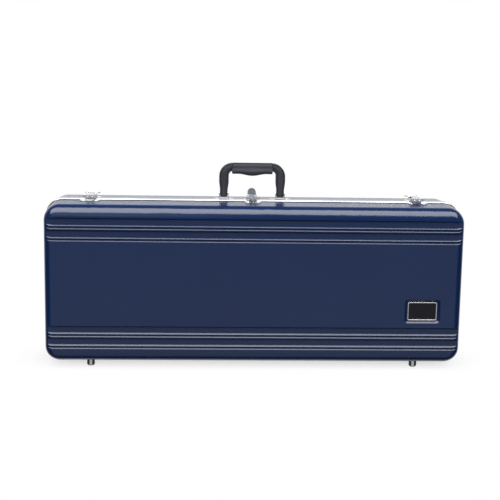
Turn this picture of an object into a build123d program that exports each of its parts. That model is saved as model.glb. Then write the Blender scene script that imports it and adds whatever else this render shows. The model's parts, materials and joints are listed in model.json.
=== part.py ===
"""Tenor saxophone case, standing on its feet with the lid to the front.

Two moulded shells meet in a pair of aluminium valances.  The rear shell is the base:
it carries the handle, the latches, the lock and the padded cradle.  The front shell is
the lid, hinged along the bottom.  Sizes are in millimetres.  X runs along the case,
+Y to the rear and +Z up; the origin is on the ground under the middle of the case.
"""
import os
from math import cos, radians, sin, sqrt, tan

from build123d import *

# Moulded shells
SHELL_L = 836.0
SHELL_H = 320.0
LID_DEPTH = 90.0
BASE_DEPTH = 110.0
GROUND_GAP = 11.5
CORNER_R = 32.0
LONG_EDGE_R = 25.0
END_EDGE_R = 15.0
DRAFT_DEG = 2.0
WALL = 3.0
FACE_WALL = 6.5

# Pressed-in bars and grooves of each face, heights counted from the middle of the shell
BAR_W = 13.5
BAR_DEPTH = 3.0
BAR_SLOPE = 2.8
GROOVE_W = 3.6
GROOVE_DEPTH = 2.1
GROOVE_SLOPE = 2.2
GROOVE_DROP = 11.3
BAR_PITCH = 24.2
UPPER_BAR = 125.4
LOWER_BAR = -90.8

# Badge in its recess on the lid, counted from the right end of the shell
BADGE_IN = 81.5
BADGE_UP = -49.0
RECESS_W = 72.0
RECESS_H = 48.5
RECESS_R = 7.0
RECESS_DEPTH = 4.0
RECESS_SLOPE_DEG = 48.0
PLATE_W = 59.0
PLATE_H = 37.5
PLATE_R = 3.5
PLATE_T = 1.6
RIM_W = 2.0
RIM_T = 2.4

# Aluminium valances
VALANCE_PROUD = 1.5
VALANCE_W = 12.0
VALANCE_EDGE = 1.0
WEB_T = 4.0
FLANGE_T = 1.6
SEAM = 0.3
TONGUE_W = 1.6
TONGUE_H = 2.2
TONGUE_CLEAR = 0.5

# Padding
FOAM_GAP = 0.3
FOAM_RIM_GAP = 0.5
FOAM_SINK = 1.5
LINING_T = 12.0
LINING_RIM = 14.0
BODY_POCKET_DEPTH = 88.0
NECK_POCKET_DEPTH = 70.0
SMALL_POCKET_DEPTH = 60.0
FLAP_T = 5.0
FLAP_CLEAR = 0.8
FLAP_OVERLAP = 3.0
FLAP_SINK = 2.0
FLAP_R = 4.0
TAB_W = 18.0
TAB_L = 16.0
TAB_T = 1.2

# Pockets of the cradle: a horn pocket of three pods, each given by its middle and radius,
# as places in X and above the bottom of the shells
BODY_NARROW = (-350.0, 66.5, 40.0)
BODY_WIDE = (262.0, 74.5, 54.0)
BELL_NECK = (262.0, 210.5, 58.0)
BELL_MOUTH = (98.0, 216.5, 79.0)
BOW = (262.0, 142.5, 122.0)
POCKET_R = 12.0

# Three smaller pockets at the left end, counted from the left end and the top of the shells
SMALL_IN = 40.0
SMALL_W = 164.0
FLAP_DOWN = 37.5
FLAP_POCKET_H = 60.0
REED_DOWN = 109.5
REED_H = 80.0
NECK_IN = 224.0
NECK_W = 184.0
NECK_DOWN = 25.5
NECK_H = 156.0

# Hinges along the bottom, the outer ones counted from the ends of the shells
HINGE_IN = 138.0
HINGE_L = 66.0
KNUCKLES = 3
KNUCKLE_R = 2.8
KNUCKLE_GAP = 0.3
HINGE_PIN_R = 1.3
LEAF_T = 1.2
LEAF_W = 11.0

# Feet, counted from the ends and the faces of the shells
FOOT_IN = 91.0
FOOT_INSET = 33.0
FOOT_R = 9.3
FOOT_EDGE_R = 5.0
STEM_R = 2.5

# Handle; heights are counted from the top of the shells' rim
HANDLE_X = -3.7
HANDLE_BEHIND = 24.0
HANDLE_W = 135.0
HANDLE_RISE = 73.5
HANDLE_T = 12.5
LEG_W = 19.4
LEG_FOOT_W = 15.4
LEG_SHOULDER_RISE = 17.0
LEG_TAPER_RISE = 36.0
LEG_FOOT_RISE = 4.0
TOP_BAND = 16.0
OUTER_BEND_R = 27.0
INNER_BEND_R = 9.0
STRAP_EDGE_R = 3.5
GRIP_L = 83.0
GRIP_T = 24.0
GRIP_END_H = 22.8
GRIP_WAIST_H = 22.5
GRIP_MID_H = 26.5
GRIP_ROUND_R = 9.5
PIVOT_RISE = 11.5
HANDLE_PIN_R = 2.0
BRACKET_W = 42.0
BRACKET_D = 18.0
BRACKET_T = 1.5
EAR_GAP = 0.5
EAR_R = 3.6
EAR_FLARE = 2.0

# Draw latches: two counted from the ends of the shells, and one with a lock under the handle.
# Pivots are given as a distance behind the parting and a height above the rim.
LATCH_IN = 87.5
LATCH_W = 40.0
LOCK_W = 34.0
LATCH_D = 28.0
LATCH_T = 1.2
LOBE_R = 7.5
CATCH_D = 20.0
LIP_INSET = 4.5
LIP_T = 1.4
LIP_W = 16.0
LIP_RISE = 4.6
PLATE_GAP = 1.5
LEVER_PIVOT = (22.0, 8.0)
CLAW_PIVOT = (30.0, 6.5)
LATCH_PIN_R = 1.1
LATCH_EYE_R = 2.5
CHEEK_X = 8.0
CHEEK_T = 1.2
CHEEK_GAP = 0.4
ARM_W = 13.0
CLAW_W = 30.0
CLAW_RISE = 8.2
CLAW_GAP = 0.3
CLAW_HEAD_W = 26.0
CLAW_HEAD_D = 9.0
CLAW_HEAD_R = 3.0
CLAW_WING_H = 4.6
CLAW_NECK_W = 13.0
CLAW_FOOT_W = 17.0
CLAW_FOOT_RISE = 2.4
CLAW_ARCH_R = 2.6
CLAW_EYE = (5.1, 6.5)
CLAW_EYE_R = 1.9
DECK_START = 4.0
DECK_L = 16.0
TIP_W = 16.0
TIP_RISE = 3.4
DOME_W = 17.0
DOME_RISE = 21.0
DOME_T = 3.6
DOME_LEAN_DEG = 10.0
CYLINDER_R = 2.9
CYLINDER_L = 4.4
CYLINDER_SINK = 1.6
BARREL_R = 4.2
BARREL_L = 7.0
BARREL_PROUD = 0.8
BARREL_RISE = 5.3
BARREL_CLEAR = 0.5
KEYWAY_W = 1.2
KEYWAY_H = 4.4
RUN = 0.05

# Places worked out from the sizes above
SLOPE = tan(radians(DRAFT_DEG))
FRONT_Y = -(LID_DEPTH + BASE_DEPTH) / 2
PARTING_Y = FRONT_Y + LID_DEPTH
REAR_Y = PARTING_Y + BASE_DEPTH
MID_Z = GROUND_GAP + SHELL_H / 2
RIM_TOP_Z = MID_Z + SHELL_H / 2
VALANCE_BOTTOM_Z = GROUND_GAP - VALANCE_PROUD
HINGE_Z = VALANCE_BOTTOM_Z - KNUCKLE_R - 0.4
INNER_CLEAR = VALANCE_W * SLOPE + 0.15
HANDLE_Y = PARTING_Y + HANDLE_BEHIND
LATCH_X = SHELL_L / 2 - LATCH_IN
FOOT_X = SHELL_L / 2 - FOOT_IN
HINGE_X = SHELL_L / 2 - HINGE_IN
BADGE_X = SHELL_L / 2 - BADGE_IN

FACE = Plane(origin=(0, PARTING_Y, 0), x_dir=(1, 0, 0), z_dir=(0, -1, 0))
LID_PLANE = Plane(origin=(0, PARTING_Y, MID_Z), x_dir=(1, 0, 0), z_dir=(0, -1, 0))
BASE_PLANE = Plane(origin=(0, PARTING_Y, MID_Z), x_dir=(-1, 0, 0), z_dir=(0, 1, 0))


def outline(plane, depth, outset, extra_x=0.0, extra_z=0.0):
    """Rounded outline of the case at a depth behind the parting plane, grown by outset."""
    radius = CORNER_R + outset - (extra_x + extra_z) / 2
    width = SHELL_L + 2 * (outset - extra_x)
    height = SHELL_H + 2 * (outset - extra_z)
    return plane.offset(depth) * RectangleRounded(width, height, radius)


def rounding(depth, full_depth, radius):
    """How far a rounded, drafted edge has drawn in at a depth, beyond nothing at the rim."""
    start = full_depth - radius * (1 - sin(radians(DRAFT_DEG)))
    if depth <= start:
        return depth * SLOPE
    turned = (depth - full_depth + radius) / radius
    return start * SLOPE + radius * (cos(radians(DRAFT_DEG)) - sqrt(max(0.0, 1 - turned * turned)))


def moulded_body(plane, full_depth):
    """Solid outer form of one shell: drafted sides, then edges rolled over to a flat face."""
    begin = WEB_T + 0.1
    turn = full_depth - LONG_EDGE_R * (1 - sin(radians(DRAFT_DEG)))
    sides = extrude(outline(plane, begin, -begin * SLOPE), turn - begin, taper=DRAFT_DEG)
    sections = []
    for angle in (DRAFT_DEG, 16, 31, 46, 61, 76, 90):
        depth = full_depth - LONG_EDGE_R * (1 - sin(radians(angle)))
        ends = rounding(depth, full_depth, END_EDGE_R) - turn * SLOPE
        longs = rounding(depth, full_depth, LONG_EDGE_R) - turn * SLOPE
        sections.append(outline(plane, depth, -turn * SLOPE, ends, longs))
    return sides + loft(sections)


def far_edges(body, plane):
    """Edges of a block's far face, seen from the parting."""
    return body.faces().sort_by(Axis((0, 0, 0), tuple(plane.z_dir)))[-1].edges()


def soften_far_edge(body, plane):
    """Round the edge of a drafted block at its far face, as the shell is rounded inside."""
    return fillet(far_edges(body, plane), LONG_EDGE_R - FACE_WALL)


def cavity(plane, full_depth):
    """Space inside a shell, with a soft edge at the far face."""
    begin = WEB_T - 1
    mouth = outline(plane, begin, -WALL - begin * SLOPE)
    return soften_far_edge(extrude(mouth, full_depth - FACE_WALL - begin, taper=DRAFT_DEG), plane)


def pressed_lines(face_y, inward):
    """Cutter for the bars and grooves that run the whole length of a face."""
    def channel(mid, width, slope, depth):
        wide = (width + slope) / 2
        narrow = max((width - slope) / 2, 0.2)
        outer = face_y - inward
        reach = wide + slope / depth
        corners = [
            (outer, mid - reach),
            (outer, mid + reach),
            (face_y + inward * depth, mid + narrow),
            (face_y + inward * depth, mid - narrow),
        ]
        return Plane.YZ * Polygon(*corners, align=None)

    lines = Sketch()
    for first in (UPPER_BAR, LOWER_BAR):
        for step in range(2):
            mid = MID_Z + first - step * BAR_PITCH
            lines += channel(mid, BAR_W, BAR_SLOPE, BAR_DEPTH)
            lines += channel(mid - GROOVE_DROP, GROOVE_W, GROOVE_SLOPE, GROOVE_DEPTH)
    return extrude(lines, SHELL_L / 2 + 1, both=True)


def badge_recess():
    """Dished recess for the badge, wide at the lid's face and narrower at its floor."""
    seat = Plane(origin=(BADGE_X, FRONT_Y, MID_Z + BADGE_UP), x_dir=(1, 0, 0), z_dir=(0, 1, 0))
    mouth = seat * RectangleRounded(RECESS_W, RECESS_H, RECESS_R)
    return extrude(mouth, RECESS_DEPTH, taper=RECESS_SLOPE_DEG)


def stem_holes(feet_y):
    """Holes for the stems of the feet in the bottom wall of a shell."""
    holes = Part()
    for side in (-1, 1):
        holes += Pos(side * FOOT_X, feet_y, GROUND_GAP) * Cylinder(STEM_R + RUN, 8 * WALL)
    return holes


def ring(plane, near, far, outer, inner):
    """Frame around the case between two depths and two outsets from the shell's outline."""
    frame = outline(plane, near, outer) - outline(plane, near, inner)
    return extrude(frame, far - near)


def valance(plane, is_base):
    """Aluminium channel that holds a shell's rim; the lid's tongue runs in the base's groove."""
    inner_slot = -WALL - INNER_CLEAR
    body = extrude(outline(plane, SEAM / 2, VALANCE_PROUD), VALANCE_W - SEAM / 2)
    body = chamfer(far_edges(body, plane), VALANCE_EDGE)
    body -= extrude(outline(plane, -1, inner_slot - FLANGE_T), VALANCE_W + 2)
    body -= ring(plane, WEB_T, VALANCE_W + 1, 0.1, inner_slot)
    centre = (VALANCE_PROUD + inner_slot - FLANGE_T) / 2
    if is_base:
        half = TONGUE_W / 2 + TONGUE_CLEAR
        return body - ring(plane, -1, TONGUE_H + 0.4, centre + half, centre - half)
    half = TONGUE_W / 2
    return body + ring(plane, -TONGUE_H, SEAM, centre + half, centre - half)


def foam_block(plane, full_depth):
    """Padding that fills a shell up to its rim."""
    outset = -WALL - INNER_CLEAR - FLANGE_T - FOAM_RIM_GAP
    depth = full_depth - FACE_WALL - FOAM_GAP - FOAM_SINK
    return soften_far_edge(extrude(outline(plane, FOAM_SINK, outset), depth, taper=DRAFT_DEG), plane)


def pod(x0, z0, r0, x1, z1, r1):
    """Outline that wraps two circles, for a tapering pocket."""
    circles = (Pos(x0, z0) * Circle(r0)).edges() + (Pos(x1, z1) * Circle(r1)).edges()
    return make_hull(circles)


def end_pocket(from_end, width, down, height, grow=0.0, radius=POCKET_R):
    """Rounded outline counted from the left end and the top of the shells, grown by a margin."""
    x = from_end + width / 2 - SHELL_L / 2
    z = RIM_TOP_Z - down - height / 2
    return Pos(x, z) * RectangleRounded(width + 2 * grow, height + 2 * grow, radius)


def top_plane(x, y):
    """Plane on the top of the shells at a place, tilted with the draft there."""
    behind = y - PARTING_Y
    lean = radians(DRAFT_DEG) * (1 if behind > 0 else -1)
    origin = (x, y, RIM_TOP_Z - abs(behind) * SLOPE)
    return Plane(origin=origin, x_dir=(1, 0, 0), z_dir=(0, sin(lean), cos(lean)))


def across(x, sketch, width):
    """Extrude a side profile, drawn in Y and Z, to both sides of a station along X."""
    return extrude(Plane.YZ.offset(x) * sketch, width / 2, both=True)


def rod(x, y, z, radius, length):
    """Round bar along X, centred on a place."""
    return Pos(x, y, z) * Rot(0, 90, 0) * Cylinder(radius, length)


def place(behind, rise):
    """Y and Z of a point given behind the parting and above the rim."""
    return PARTING_Y + behind, RIM_TOP_Z + rise


def shell(plane, full_depth, face_y, inward, foot_y):
    """One moulded shell: drafted outer form, hollow inside, with the pressed lines."""
    body = moulded_body(plane, full_depth) - cavity(plane, full_depth)
    return body - pressed_lines(face_y, inward) - stem_holes(foot_y)


def foot(x, y):
    """Domed steel foot whose top follows the shell, with its stem."""
    height = 2 * GROUND_GAP
    stud = Pos(x, y, 0) * Cylinder(FOOT_R, height, align=(Align.CENTER, Align.CENTER, Align.MIN))
    stud = fillet(stud.edges().sort_by(Axis.Z)[0], FOOT_EDGE_R)
    lean = radians(DRAFT_DEG) * (1 if y > PARTING_Y else -1)
    seat_z = GROUND_GAP + abs(y - PARTING_Y) * SLOPE
    seat = Plane(origin=(x, y, seat_z), x_dir=(1, 0, 0), z_dir=(0, -sin(lean), cos(lean)))
    stud = split(stud, bisect_by=seat, keep=Keep.BOTTOM)
    stem_top = seat_z + WALL - 0.6
    stem_bottom = GROUND_GAP / 2
    return stud + Pos(x, y, (stem_top + stem_bottom) / 2) * Cylinder(STEM_R, stem_top - stem_bottom)


def hinge_leaf(x, side):
    """One leaf of a hinge with its knuckles; side is +1 for the base and -1 for the lid."""
    segment = (HINGE_L - (KNUCKLES - 1) * KNUCKLE_GAP) / KNUCKLES
    near = KNUCKLE_R - 0.1
    leaf_z = VALANCE_BOTTOM_Z - LEAF_T / 2
    leaf_y = PARTING_Y + side * (near + LEAF_W) / 2
    leaf = Pos(x, leaf_y, leaf_z) * Box(HINGE_L, LEAF_W - near, LEAF_T)
    web_top = HINGE_Z + KNUCKLE_R
    web_bottom = VALANCE_BOTTOM_Z - LEAF_T
    for number in range(KNUCKLES):
        if (number % 2 == 0) != (side > 0):
            continue
        middle = x + (number - (KNUCKLES - 1) / 2) * (segment + KNUCKLE_GAP)
        leaf += rod(middle, PARTING_Y, HINGE_Z, KNUCKLE_R, segment)
        web = Box(segment, near + 0.5, web_top - web_bottom)
        leaf += Pos(middle, PARTING_Y + side * (near + 0.5) / 2, (web_top + web_bottom) / 2) * web
    return leaf - rod(x, PARTING_Y, HINGE_Z, HINGE_PIN_R + RUN, HINGE_L + 2)


def arch_outline(half, step, foot_z, top_z):
    """Outline of an arch whose sides move out by step from the leg's full width to its foot."""
    shoulder_z = RIM_TOP_Z + LEG_SHOULDER_RISE
    taper_z = RIM_TOP_Z + LEG_TAPER_RISE
    side = [(half + step, foot_z), (half + step, shoulder_z), (half, taper_z), (half, top_z)]
    other = [(-x, z) for x, z in reversed(side)]
    return Polygon(*side, *other, align=None)


def handle_strap():
    """Arched strap of the handle: two tapering legs and the band under the grip."""
    foot_z = RIM_TOP_Z + LEG_FOOT_RISE
    top_z = RIM_TOP_Z + HANDLE_RISE
    half = HANDLE_W / 2
    gap = half - LEG_W
    drawn_in = (LEG_W - LEG_FOOT_W) / 2
    outer = arch_outline(half, -drawn_in, foot_z, top_z)
    outer = fillet(outer.vertices().group_by(Axis.Y)[-1], OUTER_BEND_R)
    inner = arch_outline(gap, drawn_in, foot_z - 1, top_z - TOP_BAND)
    inner = fillet(inner.vertices().group_by(Axis.Y)[-1], INNER_BEND_R)
    upright = Plane(origin=(HANDLE_X, HANDLE_Y, 0), x_dir=(1, 0, 0), z_dir=(0, -1, 0))
    strap = extrude(upright * (outer - inner), HANDLE_T / 2, both=True)
    faces = strap.faces().sort_by(Axis.Y)
    strap = fillet(faces[0].edges() + faces[-1].edges(), STRAP_EDGE_R)
    return strap - rod(HANDLE_X, HANDLE_Y, RIM_TOP_Z + PIVOT_RISE, HANDLE_PIN_R + RUN, HANDLE_W + 2)


def handle_grip(strap):
    """Moulded grip round the band, with a swell under its middle for the fingers."""
    top_z = RIM_TOP_Z + HANDLE_RISE + 0.6
    heights = (GRIP_END_H, GRIP_WAIST_H, GRIP_MID_H, GRIP_WAIST_H, GRIP_END_H)
    sections = []
    for number, height in enumerate(heights):
        x = HANDLE_X + (number / (len(heights) - 1) - 0.5) * GRIP_L
        station = Plane(origin=(x, HANDLE_Y, top_z - height / 2), x_dir=(0, 1, 0), z_dir=(1, 0, 0))
        sections.append(station * RectangleRounded(GRIP_T, height, GRIP_ROUND_R))
    return loft(sections) - strap


def handle_leg_x(side):
    """Middle of a leg of the handle along X, at the pivot."""
    return HANDLE_X + side * (HANDLE_W - LEG_W) / 2


def handle_bracket(side):
    """Bracket on the base with an ear on each side of the handle's leg."""
    x = handle_leg_x(side)
    pivot_z = RIM_TOP_Z + PIVOT_RISE
    plate = RectangleRounded(BRACKET_W, BRACKET_D, BRACKET_D / 2 - 1)
    bracket = extrude(top_plane(x, HANDLE_Y) * plate, BRACKET_T)
    seat_z = RIM_TOP_Z - HANDLE_BEHIND * SLOPE + BRACKET_T / 2
    profile = Pos(HANDLE_Y, pivot_z) * Circle(EAR_R)
    profile += Polygon(
        (HANDLE_Y - EAR_R, pivot_z), (HANDLE_Y + EAR_R, pivot_z),
        (HANDLE_Y + EAR_R + EAR_FLARE, seat_z), (HANDLE_Y - EAR_R - EAR_FLARE, seat_z), align=None,
    )
    for ear in (-1, 1):
        middle = x + ear * (LEG_FOOT_W / 2 + EAR_GAP + BRACKET_T / 2)
        bracket += across(middle, profile, BRACKET_T)
    return bracket - rod(x, HANDLE_Y, pivot_z, HANDLE_PIN_R + RUN, BRACKET_W)


def handle_pin(side):
    """Pivot pin through a leg of the handle and its bracket."""
    length = LEG_FOOT_W + 2 * (EAR_GAP + BRACKET_T) + 2
    return rod(handle_leg_x(side), HANDLE_Y, RIM_TOP_Z + PIVOT_RISE, HANDLE_PIN_R, length)


def lobed(width, depth):
    """Plate outline with four round lobes, like a butterfly."""
    sketch = Rectangle(width - 2 * LOBE_R, depth - LOBE_R)
    for x in (-1, 1):
        for y in (-1, 1):
            sketch += Pos(x * (width / 2 - LOBE_R), y * (depth / 2 - LOBE_R)) * Circle(LOBE_R)
    return sketch


def latch_base(x, width):
    """Plate on the base with two ears for the lever."""
    y = PARTING_Y + VALANCE_W + PLATE_GAP + LATCH_D / 2
    body = extrude(top_plane(x, y) * lobed(width, LATCH_D), LATCH_T)
    pivot_y, pivot_z = place(*LEVER_PIVOT)
    seat_z = RIM_TOP_Z - LEVER_PIVOT[0] * SLOPE + LATCH_T / 2
    profile = Pos(pivot_y, pivot_z) * Circle(LATCH_EYE_R)
    profile += Polygon(
        (pivot_y - LATCH_EYE_R, pivot_z), (pivot_y + LATCH_EYE_R, pivot_z),
        (pivot_y + LATCH_EYE_R + 1.5, seat_z), (pivot_y - LATCH_EYE_R - 1.5, seat_z), align=None,
    )
    for side in (-1, 1):
        body += across(x + side * (CHEEK_X + 1.5 * CHEEK_T + CHEEK_GAP), profile, CHEEK_T)
    return body - rod(x, pivot_y, pivot_z, LATCH_PIN_R + RUN, width)


def lever_pins(x):
    """Two short pivots that join the ears of the plate and the cheeks of the lever."""
    pivot_y, pivot_z = place(*LEVER_PIVOT)
    length = 2 * CHEEK_T + CHEEK_GAP + 1.4
    pins = [
        rod(x + side * (CHEEK_X + CHEEK_T + CHEEK_GAP / 2), pivot_y, pivot_z, LATCH_PIN_R, length)
        for side in (-1, 1)
    ]
    return Compound(children=pins)


def lever_cheeks(x):
    """Side plates of a lever, with an eye for each pivot."""
    near_y, near_z = place(*LEVER_PIVOT)
    far_y, far_z = place(*CLAW_PIVOT)
    end_y = far_y + DECK_START + 2
    edges = (Pos(near_y, near_z) * Circle(LATCH_EYE_R)).edges()
    edges += (Pos(far_y, far_z) * Circle(LATCH_EYE_R - 0.3)).edges()
    edges += (Pos(end_y, far_z + 0.4) * Circle(1.5)).edges()
    profile = make_hull(edges)
    offset_x = CHEEK_X + CHEEK_T / 2
    cheeks = across(x - offset_x, profile, CHEEK_T) + across(x + offset_x, profile, CHEEK_T)
    cheeks -= rod(x, near_y, near_z, LATCH_PIN_R + RUN, 4 * CHEEK_X)
    return cheeks - rod(x, far_y, far_z, LATCH_PIN_R + RUN, 4 * CHEEK_X)


def latch_lever(x):
    """Lever of an end latch: cheeks, a lobed deck behind them and a lifted tip."""
    far_y, far_z = place(*CLAW_PIVOT)
    start = far_y + DECK_START
    width = 2 * (CHEEK_X + CHEEK_T)
    deck_z = far_z + 0.4
    deck = Pos(x, start + DECK_L / 2) * RectangleRounded(width, DECK_L, 3)
    for side in (-1, 1):
        deck += Pos(x + side * width / 2, start + DECK_L - LOBE_R) * Circle(LOBE_R - 0.5)
    body = lever_cheeks(x) + extrude(Plane.XY.offset(deck_z) * deck, LATCH_T)
    end = start + DECK_L
    tip_z = deck_z + TIP_RISE
    tip = Polygon(
        (end - 5, deck_z), (end - 1, deck_z), (end + 2, tip_z), (end + 0.8, tip_z + 0.6),
        (end - 2, deck_z + LATCH_T), (end - 5, deck_z + LATCH_T), align=None,
    )
    return body + across(x, tip, TIP_W)


def lock_lever(x):
    """Lever of the lock latch: cheeks and an upright, round-topped thumb piece."""
    far_y, far_z = place(*CLAW_PIVOT)
    lean = radians(DOME_LEAN_DEG)
    foot_z = far_z - 1.5
    upright = Plane(
        origin=(x, far_y + DECK_START + 0.5, foot_z), x_dir=(1, 0, 0), z_dir=(0, -cos(lean), sin(lean))
    )
    height = (RIM_TOP_Z + DOME_RISE - foot_z) / cos(lean)
    straight = height - DOME_W / 2
    dome = Pos(0, straight / 2) * Rectangle(DOME_W, straight) + Pos(0, straight) * Circle(DOME_W / 2)
    dome += Pos(0, 2.5) * Rectangle(2 * (CHEEK_X + CHEEK_T), 5)
    return lever_cheeks(x) + extrude(upright * dome, -DOME_T)


def claw_front(x, width):
    """Front of a claw: two wings above a splayed foot with an arch in its middle."""
    low = RIM_TOP_Z + CLAW_FOOT_RISE
    high = RIM_TOP_Z + CLAW_RISE + LATCH_T
    wing_z = high - CLAW_WING_H / 2
    front = Pos(0, wing_z) * RectangleRounded(width, CLAW_WING_H, CLAW_WING_H / 2 - 0.1)
    front += Polygon(
        (-CLAW_FOOT_W / 2, low), (CLAW_FOOT_W / 2, low),
        (CLAW_NECK_W / 2, wing_z), (-CLAW_NECK_W / 2, wing_z), align=None,
    )
    front -= Pos(0, low) * Circle(CLAW_ARCH_R)
    plane = Plane(origin=(x, claw_front_y(), 0), x_dir=(1, 0, 0), z_dir=(0, -1, 0))
    return extrude(plane * front, -LATCH_T)


def claw_body(x, width):
    """Claw that reaches from the lever over the valances and drops in front of the lip."""
    far_y, far_z = place(*CLAW_PIVOT)
    front_y = claw_front_y()
    head = Rectangle(CLAW_HEAD_W, CLAW_HEAD_D)
    head = fillet(head.vertices().group_by(Axis.Y)[-1], CLAW_HEAD_R)
    plan = Pos(x, front_y + CLAW_HEAD_D / 2) * head
    plan += Pos(x, (far_y + front_y) / 2) * Rectangle(ARM_W, far_y - front_y)
    body = extrude(Plane.XY.offset(RIM_TOP_Z + CLAW_RISE) * plan, LATCH_T) + claw_front(x, width)
    body += rod(x, far_y, far_z, LATCH_EYE_R - 0.3, ARM_W)
    return body - rod(x, far_y, far_z, LATCH_PIN_R + RUN, 2 * ARM_W)


def claw(x, width):
    """Claw of an end latch, with a round window on each side of its front."""
    body = claw_body(x, width)
    for side in (-1, 1):
        eye = Pos(x + side * CLAW_EYE[0], claw_front_y(), RIM_TOP_Z + CLAW_EYE[1])
        body -= eye * Rot(90, 0, 0) * Cylinder(CLAW_EYE_R, 3 * LATCH_T)
    return body


def claw_front_y():
    """Front face of a claw."""
    return lip_front_y() - CLAW_GAP - LATCH_T


def lip_front_y():
    """Front face of the catch's lip."""
    return PARTING_Y - VALANCE_W - PLATE_GAP - LIP_INSET - LIP_T / 2


def claw_pin(x):
    """Pivot pin of a claw in the cheeks of its lever."""
    far_y, far_z = place(*CLAW_PIVOT)
    return rod(x, far_y, far_z, LATCH_PIN_R, 2 * (CHEEK_X + CHEEK_T) + 0.4)


def catch(x, width):
    """Plate on the lid with the upright lip that a claw pulls on."""
    y = PARTING_Y - VALANCE_W - PLATE_GAP - CATCH_D / 2
    body = extrude(top_plane(x, y) * lobed(width, CATCH_D), LATCH_T)
    bottom = RIM_TOP_Z - (PARTING_Y - lip_front_y()) * SLOPE + LATCH_T / 2
    top = RIM_TOP_Z + LIP_RISE
    lip = Box(LIP_W, LIP_T, top - bottom)
    return body + Pos(x, lip_front_y() + LIP_T / 2, (top + bottom) / 2) * lip


def lock_catch(x, width):
    """Catch of the lock latch, whose lip is open in the middle for the barrel."""
    body = catch(x, width)
    plate_top = body.bounding_box().min.Z + LATCH_T + CATCH_D * SLOPE
    gap = Box(2 * (BARREL_R + BARREL_CLEAR), 3 * LIP_T, 2 * LIP_RISE)
    return body - Pos(x, lip_front_y() + LIP_T / 2, plate_top + LIP_RISE) * gap


def barrel_place(x, behind):
    """Place on the axis of the lock barrel, a distance behind the barrel's front."""
    return Pos(x, claw_front_y() - BARREL_PROUD + behind, RIM_TOP_Z + BARREL_RISE) * Rot(90, 0, 0)


def lock_claw(x, width):
    """Claw of the lock latch with the barrel that houses the lock cylinder."""
    depth = CYLINDER_SINK + CYLINDER_L + RUN
    barrel = barrel_place(x, BARREL_L / 2) * Cylinder(BARREL_R, BARREL_L)
    bore = barrel_place(x, depth / 2 - 1) * Cylinder(CYLINDER_R + RUN, depth + 2)
    return claw_body(x, width) + barrel - bore


def lock_cylinder(x):
    """Cylinder that turns with the key, sunk in its barrel, with a keyway at the front."""
    body = barrel_place(x, CYLINDER_SINK + CYLINDER_L / 2) * Cylinder(CYLINDER_R, CYLINDER_L)
    return body - barrel_place(x, CYLINDER_SINK) * Box(KEYWAY_W, KEYWAY_H, CYLINDER_L)


def base_cradle():
    """Padded cradle of the base with pockets for the saxophone, its neck and small parts."""
    horn = pod(*BODY_NARROW, *BODY_WIDE) + pod(*BELL_NECK, *BELL_MOUTH)
    horn += Pos(BOW[0], BOW[1]) * Circle(BOW[2])
    small = end_pocket(SMALL_IN, SMALL_W, FLAP_DOWN, FLAP_POCKET_H)
    small += end_pocket(SMALL_IN, SMALL_W, REED_DOWN, REED_H)
    pads = foam_block(BASE_PLANE, BASE_DEPTH)
    pads -= extrude(FACE * Pos(0, GROUND_GAP) * horn, -BODY_POCKET_DEPTH)
    pads -= extrude(FACE * end_pocket(NECK_IN, NECK_W, NECK_DOWN, NECK_H), -NECK_POCKET_DEPTH)
    pads -= extrude(FACE * small, -SMALL_POCKET_DEPTH)
    return pads - extrude(FACE * flap_outline(FLAP_CLEAR), -FLAP_SINK - FLAP_T - FLAP_CLEAR)


def flap_outline(grow):
    """Outline of the lid of the small compartment, a little larger than its pocket."""
    return end_pocket(SMALL_IN, SMALL_W, FLAP_DOWN, FLAP_POCKET_H, FLAP_OVERLAP + grow, FLAP_R)


def flap():
    """Covered board that closes the small compartment, rounded along its hinge edge."""
    board = extrude(FACE.offset(-FLAP_SINK) * flap_outline(0), -FLAP_T)
    top = board.edges().filter_by(Axis.X).group_by(Axis.Z)[-1]
    return fillet(top, FLAP_T / 2 - 0.1)


def flap_tab():
    """Cloth pull tab at the free edge of the compartment's lid."""
    x = SMALL_IN + SMALL_W / 2 - SHELL_L / 2
    z = RIM_TOP_Z - FLAP_DOWN - FLAP_POCKET_H - FLAP_OVERLAP + TAB_L / 2
    return extrude(FACE.offset(-FLAP_SINK) * Pos(x, z) * RectangleRounded(TAB_W, TAB_L, 4), TAB_T)


def lid_lining():
    """Padded tray of the lid: a rim all round and a pad over the face."""
    depth = LID_DEPTH - FACE_WALL - FOAM_GAP - LINING_T
    rim = -WALL - INNER_CLEAR - FLANGE_T - FOAM_RIM_GAP - LINING_RIM
    hollow = extrude(outline(LID_PLANE, 0, rim), depth, taper=DRAFT_DEG)
    return foam_block(LID_PLANE, LID_DEPTH) - hollow


def badge_rim_and_plate():
    """Bare badge: a bright rim round a dark plate, seated on the floor of the recess."""
    floor_y = FRONT_Y + RECESS_DEPTH
    seat = Plane(origin=(BADGE_X, floor_y, MID_Z + BADGE_UP), x_dir=(1, 0, 0), z_dir=(0, -1, 0))
    inner = RectangleRounded(PLATE_W - 2 * RIM_W, PLATE_H - 2 * RIM_W, PLATE_R - RIM_W / 2)
    rim = extrude(seat * (RectangleRounded(PLATE_W, PLATE_H, PLATE_R) - inner), RIM_T)
    return rim, extrude(seat * inner, PLATE_T)


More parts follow.
